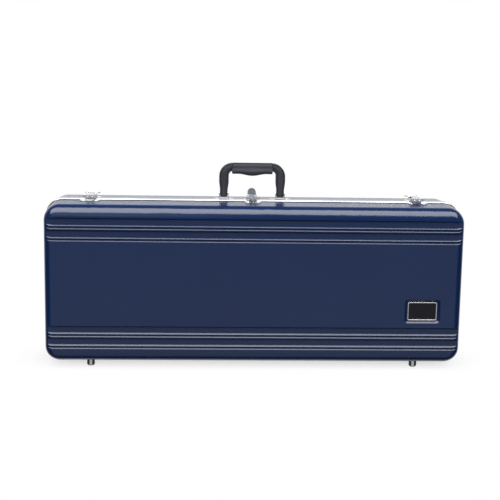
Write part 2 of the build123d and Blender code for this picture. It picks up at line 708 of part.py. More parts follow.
def build():
    """Every piece of the case by the name of its node."""
    lid_foot_y = FRONT_Y + FOOT_INSET
    base_foot_y = REAR_Y - FOOT_INSET
    lid_shell = shell(LID_PLANE, LID_DEPTH, FRONT_Y, 1, lid_foot_y) - badge_recess()
    strap = handle_strap()
    rim, plate = badge_rim_and_plate()
    parts = {
        "base_shell": shell(BASE_PLANE, BASE_DEPTH, REAR_Y, -1, base_foot_y),
        "base_valance": valance(BASE_PLANE, True),
        "base_cradle": base_cradle(),
        "lid_shell": lid_shell,
        "lid_valance": valance(LID_PLANE, False),
        "lid_lining": lid_lining(),
        "badge_rim": rim,
        "badge_plate": plate,
        "accessory_lid": flap(),
        "accessory_lid_tab": flap_tab(),
        "handle_strap": strap,
        "handle_grip": handle_grip(strap),
        "lock_base": latch_base(HANDLE_X, LOCK_W),
        "lock_catch": lock_catch(HANDLE_X, LOCK_W),
        "lock_lever": lock_lever(HANDLE_X),
        "lock_lever_pins": lever_pins(HANDLE_X),
        "lock_claw": lock_claw(HANDLE_X, CLAW_W),
        "lock_claw_pin": claw_pin(HANDLE_X),
        "lock_cylinder": lock_cylinder(HANDLE_X),
    }
    for name, side in (("left", -1), ("right", 1)):
        parts[f"lid_foot_{name}"] = foot(side * FOOT_X, lid_foot_y)
        parts[f"base_foot_{name}"] = foot(side * FOOT_X, base_foot_y)
        parts[f"handle_bracket_{name}"] = handle_bracket(side)
        parts[f"handle_pin_{name}"] = handle_pin(side)
        x = side * LATCH_X
        parts[f"latch_{name}_base"] = latch_base(x, LATCH_W)
        parts[f"latch_{name}_catch"] = catch(x, LATCH_W)
        parts[f"latch_{name}_lever"] = latch_lever(x)
        parts[f"latch_{name}_lever_pins"] = lever_pins(x)
        parts[f"latch_{name}_claw"] = claw(x, CLAW_W)
        parts[f"latch_{name}_claw_pin"] = claw_pin(x)
    for name, side in (("left", -1), ("centre", 0), ("right", 1)):
        x = side * HINGE_X
        parts[f"hinge_{name}_base_leaf"] = hinge_leaf(x, 1)
        parts[f"hinge_{name}_lid_leaf"] = hinge_leaf(x, -1)
        parts[f"hinge_{name}_pin"] = rod(x, PARTING_Y, HINGE_Z, HINGE_PIN_R, HINGE_L)
    return parts


os.makedirs("parts", exist_ok=True)
for node, shape in build().items():
    export_step(shape, f"parts/{node}.step")
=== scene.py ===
import json
from math import cos, hypot, pi, radians, sin, tan

import bmesh
import bpy
from mathutils import Matrix, Vector
from mathutils import noise as value_noise


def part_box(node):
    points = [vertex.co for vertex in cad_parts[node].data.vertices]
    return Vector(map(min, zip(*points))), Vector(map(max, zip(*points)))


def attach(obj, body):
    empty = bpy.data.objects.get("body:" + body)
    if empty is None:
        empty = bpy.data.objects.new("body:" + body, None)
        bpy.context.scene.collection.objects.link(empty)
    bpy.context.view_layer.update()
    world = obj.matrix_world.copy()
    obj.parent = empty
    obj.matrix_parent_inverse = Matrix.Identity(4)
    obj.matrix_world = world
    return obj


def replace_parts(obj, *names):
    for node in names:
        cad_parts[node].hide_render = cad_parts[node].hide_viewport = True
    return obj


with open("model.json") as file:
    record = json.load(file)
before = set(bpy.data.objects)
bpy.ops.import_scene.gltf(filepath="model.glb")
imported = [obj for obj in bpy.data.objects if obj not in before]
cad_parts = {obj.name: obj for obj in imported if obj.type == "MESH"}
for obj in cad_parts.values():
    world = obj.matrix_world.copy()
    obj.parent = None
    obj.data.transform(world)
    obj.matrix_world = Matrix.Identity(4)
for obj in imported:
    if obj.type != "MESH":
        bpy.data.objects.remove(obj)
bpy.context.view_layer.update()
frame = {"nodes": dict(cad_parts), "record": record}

MM = 0.001

# The photograph's camera, fitted to the straight edges of the case
IMAGE_W = 500
SENSOR_W_MM = 36.0
FOCAL_PX = 1107.9
CAMERA_AT = (-0.112, -2.246, 0.6175)
CAMERA_YAW = radians(-2.695)
CAMERA_DOWN = radians(9.849)
CAMERA_ROLL = radians(-0.970)

# Sizes that the modelled pieces share with the construction. Rises are above the rim's top.
LEG_FOOT_RISE = 4.0 * MM
LEG_SHOULDER_RISE = 17.0 * MM
LEG_TAPER_RISE = 36.0 * MM
LEG_W = 19.4 * MM
LEG_FOOT_W = 15.4 * MM
TOP_BAND = 16.0 * MM
OUTER_BEND_R = 27.0 * MM
INNER_BEND_R = 9.0 * MM
GRIP_END_H = 22.8 * MM
GRIP_WAIST_H = 22.5 * MM
GRIP_MID_H = 26.5 * MM
LOBE_R = 7.5 * MM
PLATE_T = 1.2 * MM
BRACKET_T = 1.5 * MM
DRAFT_ANGLE = radians(2.0)
PARTING_Y = -10.0 * MM
RIM_TOP_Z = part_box("handle_strap")[0].z - LEG_FOOT_RISE

# Parts of the names of nodes that come in sets
LATCHES = ("latch_left", "latch_right", "lock")
BRACKET_SIDES = ("left", "right")
HINGES = ("left", "centre", "right")
LEAVES = ("base_leaf", "lid_leaf")


class Graph:
    """Shader nodes of one material or of the world, added by kind and linked by socket name."""

    def __init__(self, tree):
        self.tree = tree
        tree.nodes.clear()

    def add(self, kind, sockets=None, **settings):
        node = self.tree.nodes.new(kind)
        for name, value in settings.items():
            setattr(node, name, value)
        for name, value in (sockets or {}).items():
            self.feed(node, name, value)
        return node

    def feed(self, node, name, value):
        """Links a socket to another node's output, or gives it a plain value."""
        socket = node.inputs[name]
        if isinstance(value, bpy.types.NodeSocket):
            self.tree.links.new(value, socket)
        else:
            socket.default_value = value

    def math(self, operation, a, b=0.0, clamp=False):
        return self.add("ShaderNodeMath", {0: a, 1: b}, operation=operation, use_clamp=clamp).outputs[0]

    def times(self, a, b):
        return self.math("MULTIPLY", a, b)

    def plus(self, a, b):
        return self.math("ADD", a, b)

    def larger(self, a, b):
        return self.math("MAXIMUM", a, b)

    def axes(self, vector):
        """X, Y and Z of a vector."""
        return self.add("ShaderNodeSeparateXYZ", {"Vector": vector}).outputs

    def ramp(self, factor, *stops):
        node = self.add("ShaderNodeValToRGB", {"Fac": factor})
        elements = node.color_ramp.elements
        while len(elements) < len(stops):
            elements.new(0.5)
        for element, (position, colour) in zip(elements, stops):
            element.position = position
            element.color = (*colour, 1)
        return node.outputs["Color"]

    def step(self, value, start, end):
        """Smooth step from 0 at start to 1 at end, which are the node's sockets 1 and 2."""
        return self.add("ShaderNodeMapRange", {"Value": value, 1: start, 2: end},
                        interpolation_type="SMOOTHSTEP").outputs[0]

    def mix(self, factor, a, b):
        """Colour between a and b. The node's sockets 6 and 7 are its two colours."""
        colours = [end if isinstance(end, bpy.types.NodeSocket) else (*end, 1) for end in (a, b)]
        return self.add("ShaderNodeMix", {0: factor, 6: colours[0], 7: colours[1]},
                        data_type="RGBA").outputs[2]

    def noise(self, place, scale, detail=3.0, rough=0.5):
        sockets = {"Vector": place, "Scale": scale, "Detail": detail, "Roughness": rough}
        return self.add("ShaderNodeTexNoise", sockets).outputs["Fac"]

    def stretched_noise(self, place, scale, detail):
        """Noise with a scale of its own along each axis."""
        stretched = self.add("ShaderNodeMapping", {"Vector": place, "Scale": scale}).outputs[0]
        return self.noise(stretched, 1.0, detail)

    def bump(self, height, distance, strength=1.0, normal=None):
        node = self.add("ShaderNodeBump", {"Height": height, "Distance": distance, "Strength": strength})
        if normal is not None:
            self.feed(node, "Normal", normal)
        return node.outputs["Normal"]


def material(name):
    """A new material with its node graph and the place of each point in the row's frame."""
    made = bpy.data.materials.new(name)
    made.use_nodes = True
    graph = Graph(made.node_tree)
    place = graph.add("ShaderNodeTexCoord").outputs["Object"]
    return made, graph, place


def finish_surface(graph, **sockets):
    """Principled shader with these sockets, joined to the material's output."""
    named = {key.replace("_", " "): value for key, value in sockets.items()}
    shader = graph.add("ShaderNodeBsdfPrincipled", named)
    graph.add("ShaderNodeOutputMaterial", {"Surface": shader.outputs[0]})


DOT_PITCH = 3.9 * MM
DOT_HEIGHT = 0.05 * MM
# How much paler the raised tops of the dots are painted: a painted highlight
DOT_HIGHLIGHT_SHARE = 0.6
FACE_SHARPNESS = 4.0


def staggered_dots(graph, place, pitch):
    """Height of a staggered pattern of small raised dots on each side of a box-like body."""
    waves = [graph.math("COSINE", graph.times(axis, 2 * pi / pitch)) for axis in graph.axes(place)]
    facing = graph.axes(graph.add("ShaderNodeTexCoord").outputs["Normal"])
    total = None
    for side, (a, b) in enumerate(((1, 2), (0, 2), (0, 1))):
        weight = graph.math("POWER", graph.math("ABSOLUTE", facing[side]), FACE_SHARPNESS)
        pattern = graph.times(graph.times(waves[a], waves[b]), weight)
        total = pattern if total is None else graph.plus(total, pattern)
    return total


def shell_plastic():
    """Deep blue moulded plastic, faintly clouded, with fine embossed dots whose raised tops are painted a
    little paler, a painted highlight.
    """
    made, graph, place = material("shell_plastic")
    dots = staggered_dots(graph, place, DOT_PITCH)
    cloud = graph.noise(place, 6.0)
    speck = graph.noise(place, 900.0)
    base = graph.mix(cloud, (0.0015, 0.010, 0.046), (0.0025, 0.014, 0.056))
    # Painted highlight: the raised tops of the dots are coloured paler
    dot_highlight = graph.times(graph.larger(dots, 0.0), DOT_HIGHLIGHT_SHARE)
    colour = graph.mix(dot_highlight, base, (0.006, 0.027, 0.095))
    rough = graph.plus(graph.times(speck, 0.07), 0.13)
    grain = graph.bump(speck, 0.015 * MM, 0.35)
    normal = graph.bump(dots, DOT_HEIGHT, 1.0, grain)
    finish_surface(graph, Base_Color=colour, Roughness=rough, Normal=normal)
    return made


def brushed_aluminium():
    """Satin aluminium extrusion with fine lines along the case."""
    made, graph, place = material("brushed_aluminium")
    lines = graph.stretched_noise(place, (3.0, 700.0, 60.0), 4.0)
    marks = graph.noise(place, 25.0, 5.0, 0.65)
    colour = graph.ramp(marks, (0.3, (0.56, 0.57, 0.59)), (0.7, (0.66, 0.67, 0.69)))
    rough = graph.plus(graph.times(lines, 0.16), 0.20)
    finish_surface(graph, Base_Color=colour, Metallic=1.0, Roughness=rough,
                   Normal=graph.bump(lines, 0.02 * MM, 0.5))
    return made


HAZE_DARKER = 0.78
HAZE_ROUGHER = 0.14


def nickel_plate(name, colour, roughness):
    """Plated steel with a faint haze and a fine unevenness."""
    made, graph, place = material(name)
    haze = graph.noise(place, 120.0, 4.0, 0.6)
    uneven = graph.noise(place, 600.0, 2.0)
    darker = [HAZE_DARKER * part for part in colour]
    tint = graph.ramp(haze, (0.25, darker), (0.6, colour))
    rough = graph.plus(graph.times(haze, HAZE_ROUGHER), roughness)
    finish_surface(graph, Base_Color=tint, Metallic=1.0, Roughness=rough,
                   Normal=graph.bump(uneven, 0.006 * MM, 0.4))
    return made


# Leather-look covers of the handle: colour, pebbles to a metre and their relief
STRAP_LEATHER = {"colour": (0.034, 0.035, 0.043), "grain_scale": 900.0, "depth": 0.25 * MM}
GRIP_LEATHER = {"colour": (0.014, 0.015, 0.019), "grain_scale": 650.0, "depth": 0.2 * MM}
# Shares of the cover's colour in its creases, on its pebbles at most and in its band of painted highlight
CREASE_SHARE = 0.5
PEBBLE_SHARE = 1.5
HIGHLIGHT_SHARE = 4.5


def grained_leather(name, colour, grain_scale, depth, painted_band=None):
    """Dark leather-look cover with a pebbled grain, and a painted highlight where a height is given: a
    lighter band round it.
    """
    made, graph, place = material(name)
    cells = graph.add("ShaderNodeTexVoronoi", {"Vector": place, "Scale": grain_scale},
                      feature="DISTANCE_TO_EDGE").outputs["Distance"]
    pebble = graph.math("POWER", graph.math("MULTIPLY", cells, 2.2, clamp=True), 0.5)
    broad = graph.noise(place, 60.0, 4.0)
    crease, lit, highlight_colour = ([share * part for part in colour]
                                for share in (CREASE_SHARE, PEBBLE_SHARE, HIGHLIGHT_SHARE))
    tint = graph.mix(graph.times(pebble, 0.8), crease, graph.mix(broad, colour, lit))
    # Painted highlight: a lighter, mottled band round the given height stands in for light on the grip's
    # face
    if painted_band is not None:
        middle, reach = painted_band
        off = graph.math("ABSOLUTE", graph.math("SUBTRACT", graph.axes(place)[2], middle))
        painted_highlight = graph.times(graph.step(off, reach, 0.0), graph.plus(0.6, broad))
        tint = graph.mix(painted_highlight, tint, highlight_colour)
    rough = graph.math("SUBTRACT", 0.60, graph.times(pebble, 0.14))
    finish_surface(graph, Base_Color=tint, Roughness=rough, Specular_IOR_Level=0.3,
                   Normal=graph.bump(pebble, depth, 0.8, graph.bump(broad, 0.4 * MM, 0.5)))
    return made


def waxed_thread():
    """Dark waxed thread with its twist."""
    made, graph, place = material("waxed_thread")
    twist = graph.add("ShaderNodeTexWave", {"Vector": place, "Scale": 900.0, "Distortion": 1.5},
                      bands_direction="DIAGONAL").outputs["Fac"]
    colour = graph.mix(twist, (0.0015, 0.0015, 0.002), (0.006, 0.006, 0.007))
    finish_surface(graph, Base_Color=colour, Roughness=0.5, Normal=graph.bump(twist, 0.1 * MM, 0.7))
    return made


def plush_pile():
    """Black short-pile plush with brushed patches and a soft sheen."""
    made, graph, place = material("plush_pile")
    brushed = graph.noise(place, 18.0, 5.0, 0.6)
    tufts = graph.noise(place, 1100.0, 2.0)
    colour = graph.mix(brushed, (0.010, 0.010, 0.012), (0.032, 0.032, 0.036))
    pile = graph.bump(tufts, 0.5 * MM, 0.7, graph.bump(brushed, 0.8 * MM, 0.4))
    finish_surface(graph, Base_Color=colour, Roughness=0.95, Normal=pile, Sheen_Weight=0.35,
                   Sheen_Roughness=0.45)
    return made


THREAD_PITCH = 1.1 * MM


def woven_webbing():
    """Black webbing with a plain weave."""
    made, graph, place = material("woven_webbing")
    x, _, z = graph.axes(place)
    across, along = (graph.math("SINE", graph.times(axis, 2 * pi / THREAD_PITCH)) for axis in (x, z))
    weave = graph.times(across, along)
    lift = graph.plus(graph.times(weave, 0.5), 0.5)
    colour = graph.mix(lift, (0.010, 0.010, 0.012), (0.040, 0.040, 0.044))
    finish_surface(graph, Base_Color=colour, Roughness=0.85, Normal=graph.bump(weave, 0.2 * MM, 0.8))
    return made


def badge_enamel():
    """Bare near-black enamel with a faint brushed grain."""
    made, graph, place = material("badge_enamel")
    grain = graph.stretched_noise(place, (900.0, 40.0, 60.0), 3.0)
    colour = graph.mix(grain, (0.003, 0.003, 0.005), (0.012, 0.012, 0.016))
    finish_surface(graph, Base_Color=colour, Roughness=0.30, Specular_IOR_Level=0.22,
                   Normal=graph.bump(grain, 0.01 * MM, 0.4))
    return made


# How clear the floor is to the camera, by the distance from a line under the case. The line runs
# SHADOW_HALF_L to each side, and the stops are shares of SHADOW_REACH.
# Near the case more of the floor's own shaded colour shows: a painted shadow fade by distance, over the
# real shadow the floor receives
SHADOW_HALF_L = 0.36
SHADOW_REACH = 0.14
FLOOR_CLEARNESS = ((0.0, 0.55), (0.22, 0.66), (0.48, 0.84), (0.70, 0.95), (1.0, 1.0))
FLOOR_COLOUR = (0.50, 0.50, 0.51, 1)


def floor_white():
    """Studio floor: plain to the light, part clear to the camera near the case and quite clear
    further out, and not there in a mirror or from below."""
    made, graph, place = material("floor_white")
    path = graph.add("ShaderNodeLightPath").outputs
    mirrored = graph.larger(path["Is Glossy Ray"], path["Is Transmission Ray"])
    x, y, _ = graph.axes(place)
    beside = graph.larger(graph.math("SUBTRACT", graph.math("ABSOLUTE", x), SHADOW_HALF_L), 0.0)
    squares = graph.plus(graph.math("POWER", beside, 2.0), graph.math("POWER", y, 2.0))
    # Painted shadow fade: the floor is less clear, so darker, close to the case
    apart = graph.math("DIVIDE", graph.math("SQRT", squares), SHADOW_REACH, clamp=True)
    clearness = graph.ramp(apart, *((stop, (share, share, share)) for stop, share in FLOOR_CLEARNESS))
    seen = graph.times(path["Is Camera Ray"], clearness)
    from_below = graph.add("ShaderNodeNewGeometry").outputs["Backfacing"]
    share = graph.larger(graph.larger(seen, mirrored), from_below)
    white = graph.add("ShaderNodeBsdfDiffuse", {"Color": FLOOR_COLOUR}).outputs[0]
    clear = graph.add("ShaderNodeBsdfTransparent").outputs[0]
    mixed = graph.add("ShaderNodeMixShader", {0: share, 1: white, 2: clear}).outputs[0]
    graph.add("ShaderNodeOutputMaterial", {"Surface": mixed})
    return made


# What the case mirrors, by direction: the wall behind, the dim room, the dark under the horizon
# and the lit floor in front
WALL_LIGHT = (0.9, 0.9, 0.92)
ROOM_LIGHT = (0.13, 0.13, 0.14)
DARK_LIGHT = (0.03, 0.03, 0.034)
LIT_FLOOR_LIGHT = (0.5, 0.5, 0.52)
BACKDROP_WHITE = (1.0, 1.0, 1.0)


def world_light():
    """Room round the case, which the camera itself sees as plain white."""
    world = bpy.data.worlds.new("studio")
    bpy.context.scene.world = world
    world.use_nodes = True
    graph = Graph(world.node_tree)
    x, y, z = graph.axes(graph.add("ShaderNodeTexCoord").outputs["Generated"])
    wall = graph.times(graph.step(y, 0.15, 0.55), graph.step(z, 0.62, 0.45))
    narrow = graph.step(graph.math("ABSOLUTE", x), 0.58, 0.42)
    in_front = graph.times(narrow, graph.step(y, -0.20, -0.45))
    lit_floor = graph.times(in_front, graph.step(z, -0.04, -0.10))
    dark_below = graph.step(z, -0.02, -0.10)
    room = graph.mix(dark_below, ROOM_LIGHT, DARK_LIGHT)
    room = graph.mix(wall, room, WALL_LIGHT)
    room = graph.mix(lit_floor, room, LIT_FLOOR_LIGHT)
    seen = graph.add("ShaderNodeLightPath").outputs["Is Camera Ray"]
    light = graph.mix(seen, room, BACKDROP_WHITE)
    background = graph.add("ShaderNodeBackground", {"Color": light, "Strength": 1.0})
    graph.add("ShaderNodeOutputWorld", {"Surface": background.outputs[0]})


SOFTBOX_AIM = (0.0, 0.0, 0.15)


def add_softbox(name, at, width, height, watts):
    """Rectangular soft light that faces the middle of the case."""
    lamp = bpy.data.lights.new(name, "AREA")
    lamp.shape = "RECTANGLE"
    lamp.size = width
    lamp.size_y = height
    lamp.energy = watts
    holder = bpy.data.objects.new(name, lamp)
    holder.location = at
    holder.rotation_euler = (Vector(SOFTBOX_AIM) - Vector(at)).to_track_quat("-Z", "Y").to_euler()
    bpy.context.scene.collection.objects.link(holder)


FLOOR_HALF_W = 30.0


def add_floor():
    """Wide floor under the case, which isn't part of the object."""
    corners = [(a * FLOOR_HALF_W, b * FLOOR_HALF_W, 0) for a, b in ((-1, -1), (1, -1), (1, 1), (-1, 1))]
    mesh = bpy.data.meshes.new("floor")
    mesh.from_pydata(corners, [], [(0, 1, 2, 3)])
    floor = bpy.data.objects.new("floor", mesh)
    floor.data.materials.append(floor_white())
    bpy.context.scene.collection.objects.link(floor)


def studio():
    """Room, one big softbox above, a weak one in front, and the floor."""
    world_light()
    add_softbox("overhead", at=(0.0, -0.62, 1.70), width=3.2, height=1.35, watts=85.0)
    add_softbox("fill", at=(-0.9, -2.6, 1.5), width=1.6, height=1.2, watts=5.0)
    add_floor()


def add_camera():
    """Camera at the photograph's place, angle and lens."""
    lens = bpy.data.cameras.new("camera")
    lens.sensor_width = SENSOR_W_MM
    lens.lens = FOCAL_PX / IMAGE_W * SENSOR_W_MM
    camera = bpy.data.objects.new("camera", lens)
    turn = Matrix.Rotation(CAMERA_YAW, 4, "Z") @ Matrix.Rotation(-CAMERA_DOWN, 4, "X")
    turn = turn @ Matrix.Rotation(CAMERA_ROLL, 4, "Y") @ Matrix.Rotation(pi / 2, 4, "X")
    camera.matrix_world = Matrix.Translation(CAMERA_AT) @ turn
    bpy.context.scene.collection.objects.link(camera)
    bpy.context.scene.camera = camera


def dress_nodes():
    """Gives each CAD node the material of its slot, and returns the material of each slot."""
    nickel = nickel_plate("nickel", colour=(0.80, 0.81, 0.82), roughness=0.08)
    by_slot = {
        "blue_shell": shell_plastic(),
        "valance_metal": brushed_aluminium(),
        "chrome_parts": nickel,
        "steel_parts": nickel_plate("zinc", colour=(0.60, 0.61, 0.63), roughness=0.26),
        "plush": plush_pile(),
        "handle_leather": grained_leather("strap_leather", **STRAP_LEATHER),
        "badge_black": badge_enamel(),
        "badge_silver": nickel,
        "tab_cloth": woven_webbing(),
        "lock_grey": nickel_plate("smoked_nickel", colour=(0.42, 0.47, 0.53), roughness=0.24),
    }
    for entry in frame["record"]["subparts"]:
        mesh = frame["nodes"][entry["node"]].data
        mesh.materials.clear()
        mesh.materials.append(by_slot[entry["material_slot"]])
    return by_slot


def body_of_node(node):
    """Name of the body that carries a node."""
    bodies = frame["record"]["behaviour"]["bodies"]
    return next(body for body, nodes in bodies.items() if node in nodes)


def shade_smooth(mesh):
    """Smooth shading on every face."""
    mesh.polygons.foreach_set("use_smooth", [True] * len(mesh.polygons))


def mesh_of(form, name, outward=False):
    """Mesh of a finished bmesh, which it frees, with its faces turned outward where asked."""
    if outward:
        bmesh.ops.recalc_face_normals(form, faces=form.faces)
    mesh = bpy.data.meshes.new(name)
    form.to_mesh(mesh)
    form.free()
    return mesh


def add_piece(name, mesh, finish, body, sharp_deg=None):
    """New smooth piece with a material that rides on a body, sharp at corners over sharp_deg."""
    piece = bpy.data.objects.new(name, mesh)
    bpy.context.scene.collection.objects.link(piece)
    mesh.materials.clear()
    mesh.materials.append(finish)
    shade_smooth(mesh)
    if sharp_deg is not None:
        mesh.set_sharp_from_angle(angle=radians(sharp_deg))
    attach(piece, body)
    return piece


def add_with_node(name, mesh, node):
    """New piece with the material and body of a node."""
    finish = frame["nodes"][node].data.materials[0]
    return add_piece(name, mesh, finish, body_of_node(node))


def shaped(mesh, *modifiers):
    """Mesh after some modifiers, each given as a kind and its settings."""
    holder = bpy.data.objects.new("shaping", mesh)
    bpy.context.scene.collection.objects.link(holder)
    for kind, settings in modifiers:
        modifier = holder.modifiers.new(kind.lower(), kind)
        for name, value in settings.items():
            setattr(modifier, name, value)
    graph = bpy.context.evaluated_depsgraph_get()
    result = bpy.data.meshes.new_from_object(holder.evaluated_get(graph))
    bpy.data.objects.remove(holder)
    return result


JOIN_DISTANCE = 0.002 * MM


def joined_copy(node):
    """A node's mesh with its corners joined, as one closed surface."""
    form = bmesh.new()
    form.from_mesh(frame["nodes"][node].data)
    bmesh.ops.remove_doubles(form, verts=form.verts, dist=JOIN_DISTANCE)
    return form


# Faces that meet within FLAT_DEG become one, and edges sharper than EDGE_DEG are rounded
FLAT_DEG = 1.0
EDGE_DEG = 35
EASE_SEGMENTS = 2
FACE_WEIGHT = 50
LATCH_EASE = 0.28 * MM
BRACKET_EASE = 0.35 * MM
LEAF_EASE = 0.25 * MM
RIM_EASE = 0.45 * MM
CYLINDER_EASE = 0.2 * MM


def ease_edges(node, radius):
    """Stands a copy with softly rounded edges in for a hard-edged node."""
    form = joined_copy(node)
    bmesh.ops.dissolve_limit(form, angle_limit=radians(FLAT_DEG), verts=form.verts, edges=form.edges)
    mesh = mesh_of(form, f"{node}_eased")
    shade_smooth(mesh)
    eased = shaped(mesh,
                   ("BEVEL", {"width": radius, "segments": EASE_SEGMENTS, "limit_method": "ANGLE",
                              "angle_limit": radians(EDGE_DEG)}),
                   ("WEIGHTED_NORMAL", {"weight": FACE_WEIGHT}))
    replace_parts(add_with_node(f"{node}_eased", eased, node), node)


def ease_hard_pieces():
    """Rounds the edges of the stamped and cast metal pieces."""
    for latch in LATCHES:
        for part in ("base", "catch", "claw", "lever"):
            ease_edges(f"{latch}_{part}", LATCH_EASE)
    for side in BRACKET_SIDES:
        ease_edges(f"handle_bracket_{side}", BRACKET_EASE)
    for hinge in HINGES:
        for leaf in LEAVES:
            ease_edges(f"hinge_{hinge}_{leaf}", LEAF_EASE)
    ease_edges("badge_rim", RIM_EASE)
    ease_edges("lock_cylinder", CYLINDER_EASE)


def around(count):
    """Cosine and sine at equal steps of one turn."""
    return [(cos(2 * pi * k / count), sin(2 * pi * k / count)) for k in range(count)]


def wall(form, rings):
    """Faces between closed rings of vertices."""
    for first, second in zip(rings, rings[1:]):
        count = len(first)
        for k in range(count):
            after = (k + 1) % count
            form.faces.new((first[k], first[after], second[after], second[k]))


def bridge(form, rings):
    """Walls between closed rings of vertices, and a face over each end."""
    wall(form, rings)
    form.faces.new(tuple(reversed(rings[0])))
    form.faces.new(tuple(rings[-1]))


RIVET_R = 1.7 * MM
RIVET_RISE = 0.8 * MM
RIVET_SIDES = 16
# Outline of a rivet head under its crown: shares of its rise and of its radius
RIVET_OUTLINE = ((-0.3, 1.0), (0.0, 1.0), (0.45, 0.92), (0.8, 0.66), (0.96, 0.35))


def add_rivet(form, at, up):
    """Adds a domed rivet head to a mesh, seated at a place with its crown towards up."""
    turn = Vector(up).to_track_quat("Z", "Y").to_matrix()
    rings = []
    for lift, share in RIVET_OUTLINE:
        rings.append([
            form.verts.new(Vector(at) + turn @ Vector((
                RIVET_R * share * across, RIVET_R * share * along, RIVET_RISE * lift)))
            for across, along in around(RIVET_SIDES)
        ])
    crown = form.verts.new(Vector(at) + turn @ Vector((0, 0, RIVET_RISE)))
    wall(form, rings)
    for k in range(RIVET_SIDES):
        form.faces.new((rings[-1][k], rings[-1][(k + 1) % RIVET_SIDES], crown))
    form.faces.new(tuple(reversed(rings[0])))


# Where the rivets sit in the catches, the brackets and the hinge leaves
CATCH_INSET_Y = 0.8 * LOBE_R
BRACKET_INSET_X = 7.0 * MM
LEAF_RIVET_DEPTH = 0.36
LEAF_RIVET_SPREAD = 0.36


def plate_rivets(node, inset_x, inset_y, thickness, rows=(0, 1)):
    """Places and directions of the rivets in a plate on top of the case, two to a row.

    Row 0 is inset_y behind the plate's front edge, and row 1 as far before its rear edge.
    """
    low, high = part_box(node)
    places = []
    for x in (low.x + inset_x, high.x - inset_x):
        for y in [(low.y + inset_y, high.y - inset_y)[row] for row in rows]:
            behind = y - PARTING_Y
            z = RIM_TOP_Z - abs(behind) * tan(DRAFT_ANGLE) + thickness
            lean = DRAFT_ANGLE * (1 if behind > 0 else -1)
            places.append(((x, y, z), (0, sin(lean), cos(lean))))
    return places


def hinge_rivets(node):
    """Places and directions of the three rivets under a hinge leaf."""
    low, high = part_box(node)
    outer_y = high.y if abs(high.y - PARTING_Y) > abs(low.y - PARTING_Y) else low.y
    y = outer_y + (PARTING_Y - outer_y) * LEAF_RIVET_DEPTH
    middle = (low.x + high.x) / 2
    reach = LEAF_RIVET_SPREAD * (high.x - low.x)
    return [((middle + share * reach, y, high.z - PLATE_T), (0, 0, -1)) for share in (-1, 0, 1)]


def add_rivets():
    """Rivet heads of the plates, brackets and hinges, one piece for each plate."""
    groups = {}
    for latch in LATCHES:
        groups[f"{latch}_base"] = plate_rivets(f"{latch}_base", LOBE_R, LOBE_R, PLATE_T)
        groups[f"{latch}_catch"] = plate_rivets(f"{latch}_catch", LOBE_R, CATCH_INSET_Y, PLATE_T)
    for side in BRACKET_SIDES:
        node = f"handle_bracket_{side}"
        low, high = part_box(node)
        middle = (high.y - low.y) / 2
        groups[node] = plate_rivets(node, BRACKET_INSET_X, middle, BRACKET_T, rows=(0,))
    for hinge in HINGES:
        for leaf in LEAVES:
            groups[f"hinge_{hinge}_{leaf}"] = hinge_rivets(f"hinge_{hinge}_{leaf}")
    for node, places in groups.items():
        form = bmesh.new()
        for at, up in places:
            add_rivet(form, at, up)
        add_with_node(f"{node}_rivets", mesh_of(form, f"{node}_rivets"), node)


def smooth_share(value, start, end):
    """Smooth step from 0 at start to 1 at end."""
    share = min(max((value - start) / (end - start), 0.0), 1.0)
    return share * share * (3 - 2 * share)


def rounding(distance, radius):
    """How far a section draws in at a distance from its end, where the end is rounded."""
    if distance >= radius:
        return 0.0
    return radius * (1 - max(0.0, 1 - (1 - distance / radius) ** 2) ** 0.5)


# Cover of the strap, with a seam pressed in near each edge of both faces
SEAM_IN = 1.9 * MM
SEAM_DEPTH = 0.8 * MM
SEAM_HALF_W = 1.1 * MM
STRAP_EDGE_R = 1.9 * MM
STRAP_CROWN = 0.5 * MM
FOOT_ROUND = 3.0 * MM
FOOT_TUCK_MOST = 0.6 * FOOT_ROUND
STRAP_SHARP_DEG = 50
LEG_STEPS = 22
BEND_STEPS = 16
BAND_STEPS = 8
EDGE_STEPS = 4


def strap_half():
    """Inner and outer edge of the strap's left half in X and Z, from its foot to the middle."""
    low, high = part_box("handle_strap")
    middle, half, top = (low.x + high.x) / 2, (high.x - low.x) / 2, high.z
    gap = half - LEG_W
    drawn_in = (LEG_W - LEG_FOOT_W) / 2
    bend_z = top - OUTER_BEND_R
    pairs = []
    for k in range(LEG_STEPS):
        z = low.z + (bend_z - low.z) * k / LEG_STEPS
        draw = drawn_in * (1 - smooth_share(z - RIM_TOP_Z, LEG_SHOULDER_RISE, LEG_TAPER_RISE))
        pairs.append(((middle - gap - draw, z), (middle - half + draw, z)))
    inner_centre = (middle - gap + INNER_BEND_R, top - TOP_BAND - INNER_BEND_R)
    outer_centre = (middle - half + OUTER_BEND_R, bend_z)
    bends = ((inner_centre, INNER_BEND_R), (outer_centre, OUTER_BEND_R))
    for k in range(BEND_STEPS + 1):
        angle = pi / 2 * k / BEND_STEPS
        pairs.append(tuple((x - radius * cos(angle), z + radius * sin(angle))
                           for (x, z), radius in bends))
    bend_end = pairs[-1]
    for k in range(1, BAND_STEPS + 1):
        pairs.append(tuple((x + (middle - x) * k / BAND_STEPS, z) for x, z in bend_end))
    return pairs, middle


def strap_edge(half_w, half_t):
    """Points round the outer edge of the strap's section, from its front face to its back face."""
    points = []
    for centre, first in ((STRAP_EDGE_R - half_t, -pi / 2), (half_t - STRAP_EDGE_R, 0.0)):
        for k in range(EDGE_STEPS + 1):
            angle = first + pi / 2 * k / EDGE_STEPS
            points.append((half_w - STRAP_EDGE_R + STRAP_EDGE_R * cos(angle),
                           centre + STRAP_EDGE_R * sin(angle)))
    return points


